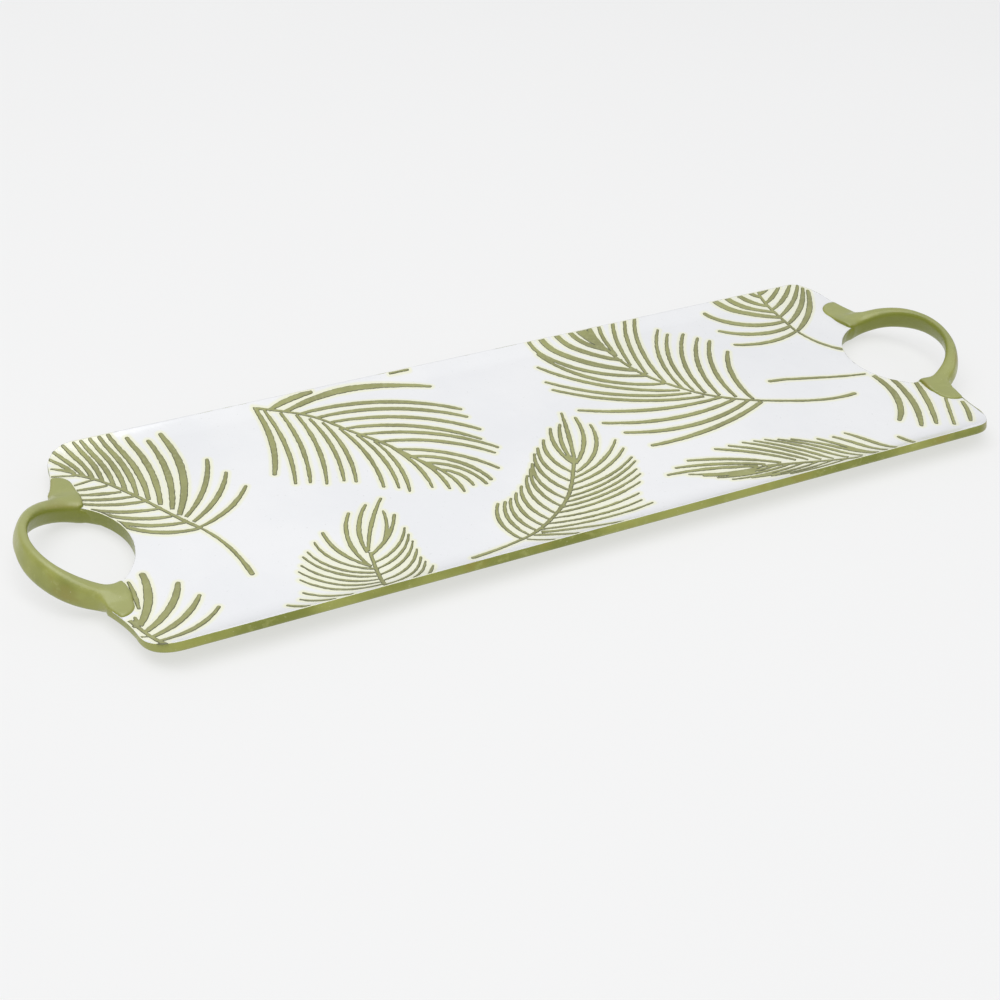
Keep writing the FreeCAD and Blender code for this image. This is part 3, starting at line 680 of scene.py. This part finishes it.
def handle_mesh(name, side):
    """One casting: the loop, its run into the rib and its two feet, grown together."""
    xs = np.arange(212, 291, VOXEL)
    if side < 0:
        xs = -xs[::-1]
    ys = np.arange(-70, 70, VOXEL)
    zs = np.arange(TOP - 14, TOP + 17, VOXEL)
    grid = np.stack(np.meshgrid(xs, ys, zs, indexing="ij"), axis=-1)
    field = loop_distance(side, grid, (xs, ys, zs))
    beside_feet = np.full(field.shape[:2] + (1,), NEAR)
    for way in (1, -1):
        plan = closed_segments(foot_plan(side, way))
        outside = -signed_distance(plan, xs, ys, NEAR).T[:, :, None]
        field = melted(field, crowned(outside, zs), MELT)
        beside_feet = np.minimum(beside_feet, outside)
    # beside the feet the casting stays under the glaze
    in_plate = signed_distance(closed_segments(outline(0.0)[0]), xs, ys, NEAR).T[:, :, None]
    too_high = zs[None, None, :] - (TOP - ENAMEL)
    field = np.maximum(field, np.minimum(np.minimum(too_high, beside_feet - 0.8), in_plate + 0.5))
    field += 0.10 * waves(grid[..., 0] + grid[..., 2], grid[..., 1], 21.0, 11 + side)
    points, quads = surface_of(field, xs, ys, zs)
    points = relaxed(points, quads, 4)
    mesh = build_mesh(name + "_casting", points, quads)
    # the inside of the loop, which the coated metal darkens as painted shade
    around = np.hypot((side * points[:, 0] - STRAP_X) / STRAP_REACH[side],
                      points[:, 1] / STRAP_HALF)
    add_attribute(mesh, "painted_shade_inside_loop", np.clip((0.99 - around) / 0.05, 0, 1))
    return mesh


# ---- materials ----------------------------------------------------------
class Shader:
    """A principled material, with short calls for the nodes that feed it."""

    def __init__(self, name, **values):
        self.material = bpy.data.materials.new(name)
        self.material.use_nodes = True
        self.nodes = self.material.node_tree.nodes
        self.links = self.material.node_tree.links
        self.main = self.nodes["Principled BSDF"]
        for socket, value in values.items():
            self.main.inputs[socket.replace("_", " ")].default_value = value
        self.place = self.nodes.new("ShaderNodeTexCoord").outputs["Object"]

    def noise(self, scale, detail=3.0):
        node = self.nodes.new("ShaderNodeTexNoise")
        node.inputs["Scale"].default_value = scale
        node.inputs["Detail"].default_value = detail
        self.links.new(self.place, node.inputs["Vector"])
        return node.outputs["Fac"]

    def attribute(self, name):
        node = self.nodes.new("ShaderNodeAttribute")
        node.attribute_name = name
        return node.outputs["Fac"]

    def facing_up(self):
        parts = self.nodes.new("ShaderNodeSeparateXYZ")
        self.links.new(self.nodes.new("ShaderNodeNewGeometry").outputs["Normal"], parts.inputs[0])
        return parts.outputs["Z"]

    def ramp(self, value, low, high, to_low=0.0, to_high=1.0):
        node = self.nodes.new("ShaderNodeMapRange")
        node.interpolation_type = "SMOOTHSTEP"
        settings = (low, high, to_low, to_high)
        for socket, setting in zip(("From Min", "From Max", "To Min", "To Max"), settings):
            node.inputs[socket].default_value = setting
        self.links.new(value, node.inputs["Value"])
        return node.outputs["Result"]

    def mix(self, share, a, b):
        node = self.nodes.new("ShaderNodeMix")
        node.data_type = "RGBA"
        self.links.new(share, node.inputs["Factor"])
        for socket, colour in ((node.inputs[6], a), (node.inputs[7], b)):
            if isinstance(colour, tuple):
                socket.default_value = colour + (1.0,)
            else:
                self.links.new(colour, socket)
        return node.outputs[2]

    def math(self, operation, a, b):
        node = self.nodes.new("ShaderNodeMath")
        node.operation = operation
        for socket, value in zip(node.inputs, (a, b)):
            if isinstance(value, (int, float)):
                socket.default_value = value
            else:
                self.links.new(value, socket)
        return node.outputs[0]

    def feed(self, socket, value):
        self.links.new(value, self.main.inputs[socket])

    def bump(self, height, distance, strength=1.0):
        node = self.nodes.new("ShaderNodeBump")
        node.inputs["Distance"].default_value = distance
        node.inputs["Strength"].default_value = strength
        self.links.new(height, node.inputs["Height"])
        self.links.new(node.outputs["Normal"], self.main.inputs["Normal"])


def coated_metal():
    shader = Shader("coated_metal", Roughness=0.36, Coat_Weight=0.25, Coat_Roughness=0.18,
                    Specular_IOR_Level=0.5)
    broad = shader.ramp(shader.noise(26), 0.35, 0.65)
    base = shader.mix(broad, (0.215, 0.238, 0.038), (0.350, 0.366, 0.084))
    warm = shader.ramp(shader.noise(48, 4), 0.52, 0.70, 0.0, 0.65)
    base = shader.mix(warm, base, (0.300, 0.255, 0.042))
    fine = shader.ramp(shader.noise(240, 5), 0.56, 0.72, 0.0, 0.5)
    base = shader.mix(fine, base, (0.405, 0.425, 0.135))
    specks = shader.ramp(shader.noise(900, 2), 0.70, 0.76, 0.0, 0.5)
    base = shader.mix(specks, base, (0.62, 0.60, 0.36))
    # painted shade: the walls inside the loops and the lower faces are painted a deeper green,
    # standing in for the shade that falls there
    upright = shader.ramp(shader.facing_up(), 0.35, 0.75, 1.0, 0.0)
    inside = shader.math("MULTIPLY", shader.attribute("painted_shade_inside_loop"), upright)
    inside = shader.math("MAXIMUM", inside, shader.ramp(shader.facing_up(), -0.8, -0.1, 0.9, 0.0))
    base = shader.mix(inside, base, (0.212, 0.236, 0.022))
    # painted light: the upper faces are painted a paler, duller green, as if lit from above
    painted_top_light = shader.ramp(shader.facing_up(), 0.6, 1.0, 0.0, 0.6)
    base = shader.mix(painted_top_light, base, (0.395, 0.415, 0.180))
    shader.feed("Base Color", base)
    shader.feed("Roughness", shader.ramp(shader.noise(120), 0.3, 0.7, 0.30, 0.44))
    height = shader.math("ADD", shader.math("MULTIPLY", shader.noise(70), 3.0),
                         shader.noise(520, 3))
    shader.bump(height, 0.00012)
    return shader.material


def white_enamel():
    shader = Shader("white_enamel", Roughness=0.16, Coat_Weight=0.5, Coat_Roughness=0.04,
                    Specular_IOR_Level=0.5)
    cloudy = shader.ramp(shader.noise(14, 4), 0.35, 0.65)
    base = shader.mix(cloudy, (0.862, 0.868, 0.884), (0.900, 0.903, 0.912))
    # painted reflection: the glaze near the fronds is tinted yellow, standing in for green light
    # thrown back from the relief
    near = shader.ramp(shader.attribute("near_frond"), -2.7, -0.3, 0.0, 0.85)
    base = shader.mix(near, base, (0.895, 0.895, 0.655))
    specks = shader.ramp(shader.noise(700, 1), 0.73, 0.78, 0.0, 0.35)
    base = shader.mix(specks, base, (0.62, 0.63, 0.62))
    shader.feed("Base Color", base)
    shader.feed("Roughness", shader.ramp(shader.noise(90), 0.3, 0.7, 0.12, 0.22))
    shader.bump(shader.noise(230, 2), 0.00005)
    return shader.material


def frond_green():
    shader = Shader("frond_green", Roughness=0.36, Coat_Weight=0.2, Coat_Roughness=0.15,
                    Specular_IOR_Level=0.45)
    broad = shader.ramp(shader.noise(34, 4), 0.35, 0.65)
    base = shader.mix(broad, (0.280, 0.284, 0.118), (0.362, 0.372, 0.150))
    fine = shader.ramp(shader.noise(420, 4), 0.5, 0.7, 0.0, 0.5)
    base = shader.mix(fine, base, (0.42, 0.43, 0.22))
    # painted shade: the relief's border is painted a darker green, as the shade along its raised
    # edges
    inward = shader.math("ADD", shader.attribute("inward"),
                         shader.ramp(shader.noise(600, 2), 0.2, 0.8, -0.12, 0.12))
    edge = shader.ramp(inward, 0.2, 0.75, 1.0, 0.0)
    base = shader.mix(edge, base, (0.135, 0.140, 0.075))
    shader.feed("Base Color", base)
    shader.feed("Roughness", shader.ramp(shader.noise(150), 0.3, 0.7, 0.30, 0.46))
    shader.bump(shader.noise(650, 3), 0.00008)
    return shader.material


def plain_finish(name, low, high, roughness, scale, depth, metallic=0.0):
    """Rubber and steel: a mottled colour with a fine grain."""
    shader = Shader(name, Roughness=roughness, Metallic=metallic)
    shader.feed("Base Color", shader.mix(shader.ramp(shader.noise(scale), 0.3, 0.7), low, high))
    grain = shader.noise(scale * 6, 3)
    shader.feed("Roughness", shader.ramp(grain, 0.3, 0.7, roughness - 0.06, roughness + 0.08))
    shader.bump(grain, depth)
    return shader.material


COATED = coated_metal()
GLAZE = white_enamel()
GREEN = frond_green()
STEEL = plain_finish("screw_steel", (0.46, 0.46, 0.45), (0.60, 0.59, 0.57), 0.34, 300,
                     0.00003, 1.0)
RUBBER = plain_finish("pad_rubber", (0.62, 0.62, 0.58), (0.70, 0.70, 0.66), 0.62, 500, 0.00004)


# ---- pieces -------------------------------------------------------------
add_piece("tray_plate_casting", plate_mesh(), COATED, "coated_metal", "tray_plate")

all_fronds = np.full((len(FIELD_Y), len(FIELD_X)), -REACH)
for node in sorted(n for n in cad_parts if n.startswith("palm_frond")):
    rows, columns, xs, ys, field = frond_field(node)
    window = all_fronds[rows, columns]
    np.maximum(window, field, out=window)
    add_piece(node + "_relief", frond_mesh(node, xs, ys, field), GREEN, "frond_green", node)
add_piece("enamel_glaze", enamel_mesh(all_fronds), GLAZE, "white_enamel", "enamel_field")

for node, side in (("handle_left", -1), ("handle_right", 1)):
    add_piece(node + "_casting", handle_mesh(node, side), COATED, "coated_metal", node)

for node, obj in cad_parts.items():
    if node.startswith("foot_pad") or node == "handle_screws":
        obj.data.materials.clear()
        obj.data.materials.append(STEEL if node == "handle_screws" else RUBBER)


# ---- floor, light and camera --------------------------------------------
FLOOR_REACH = 6.0


def make_floor():
    """Pale, and partly lit from within, so that shadows on it stay soft."""
    shader = Shader("pale_floor", Roughness=0.9, Specular_IOR_Level=0.1,
                    Emission_Color=(1.0, 1.0, 1.0, 1.0), Emission_Strength=0.62)
    shader.feed("Base Color", shader.mix(shader.noise(2.0), (0.265, 0.265, 0.265),
                                         (0.285, 0.285, 0.285)))
    mesh = bpy.data.meshes.new("floor")
    reach = FLOOR_REACH
    mesh.from_pydata([(-reach, -reach, 0), (reach, -reach, 0), (reach, reach, 0),
                      (-reach, reach, 0)], [], [(0, 1, 2, 3)])
    mesh.materials.append(shader.material)
    floor = bpy.data.objects.new("floor", mesh)
    bpy.context.scene.collection.objects.link(floor)


def make_light(name, place, size, power, target=(0, 0, 0)):
    data = bpy.data.lights.new(name, "AREA")
    data.shape = "RECTANGLE"
    data.size, data.size_y = size
    data.energy = power
    light = bpy.data.objects.new(name, data)
    light.location = place
    aim = Vector(target) - Vector(place)
    light.rotation_euler = aim.to_track_quat("-Z", "Y").to_euler()
    bpy.context.scene.collection.objects.link(light)


WORLD_LIGHT = 0.48
BACKDROP = 0.75           # seen directly, it is as pale as the far floor


def make_world():
    world = bpy.data.worlds.new("studio")
    world.use_nodes = True
    nodes, links = world.node_tree.nodes, world.node_tree.links
    light = nodes["Background"]
    light.inputs["Color"].default_value = (0.93, 0.94, 0.96, 1)
    light.inputs["Strength"].default_value = WORLD_LIGHT
    backdrop = nodes.new("ShaderNodeBackground")
    backdrop.inputs["Color"].default_value = (1.0, 1.0, 1.0, 1)
    backdrop.inputs["Strength"].default_value = BACKDROP
    either = nodes.new("ShaderNodeMixShader")
    links.new(nodes.new("ShaderNodeLightPath").outputs["Is Camera Ray"], either.inputs[0])
    links.new(light.outputs[0], either.inputs[1])
    links.new(backdrop.outputs[0], either.inputs[2])
    links.new(either.outputs[0], nodes["World Output"].inputs["Surface"])
    bpy.context.scene.world = world


CAMERA_BACK = Vector((-0.4217, -0.7205, 0.5421))    # from the middle of the top face
CAMERA_RIGHT = Vector((0.8876, -0.4580, 0.0491))
CAMERA_FORWARD = Vector((0.4004, 0.7146, -0.5736))
LENS = 64.55
SENSOR = 36.0


def make_camera():
    data = bpy.data.cameras.new("camera")
    data.sensor_fit = "HORIZONTAL"
    data.sensor_width = SENSOR
    data.lens = LENS
    camera = bpy.data.objects.new("camera", data)
    forward = CAMERA_FORWARD.normalized()
    right = (CAMERA_RIGHT - forward * CAMERA_RIGHT.dot(forward)).normalized()
    up = right.cross(forward)
    turn = Matrix((right, up, -forward)).transposed().to_4x4()
    place = Vector((0, 0, TOP * MM)) + CAMERA_BACK
    camera.matrix_world = Matrix.Translation(place) @ turn
    bpy.context.scene.collection.objects.link(camera)
    bpy.context.scene.camera = camera


make_floor()
make_world()
make_light("overhead", (-0.35, -0.1, 1.7), (2.2, 1.6), 22.5)
make_light("front_fill", (-1.2, -1.3, 1.1), (1.4, 1.0), 2)
make_light("side_fill", (1.5, -0.3, 0.9), (1.0, 1.0), 2)
make_camera()
bpy.context.scene.view_settings.view_transform = "Standard"
